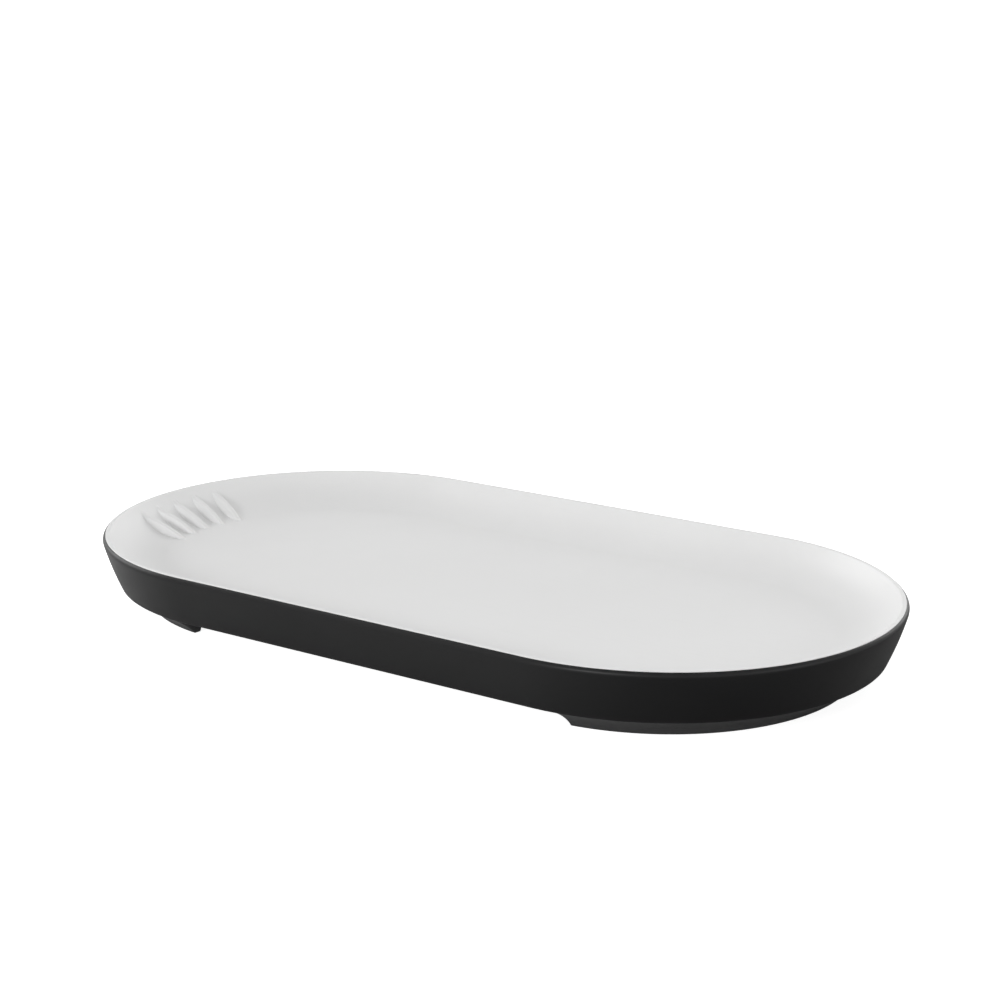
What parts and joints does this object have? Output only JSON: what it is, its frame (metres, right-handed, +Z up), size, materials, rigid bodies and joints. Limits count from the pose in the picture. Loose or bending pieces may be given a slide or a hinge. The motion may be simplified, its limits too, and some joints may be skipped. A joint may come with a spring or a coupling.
{
  "type": "serving platter",
  "caption": "Oval serving platter: a shallow white dish, ribbed at one end, nested in a black shell with leaning walls on curved feet that leave a finger gap.",
  "frame": {"origin": "under the middle of the platter, on the table that its feet stand on", "axes": "+X along the platter towards the plain end, so the ribs are at the -X end; +Y across it; +Z up"},
  "size_m": [0.34, 0.1828, 0.0289],
  "materials": {
    "dish_white": "satin off-white moulding",
    "shell_black": "satin black moulding",
    "foot_black": "satin black moulding"
  },
  "bodies": {
    "root": {"inner_dish": "dish_white", "outer_shell": "shell_black", "foot_left": "foot_black", "foot_right": "foot_black"}
  },
  "joints": []
}
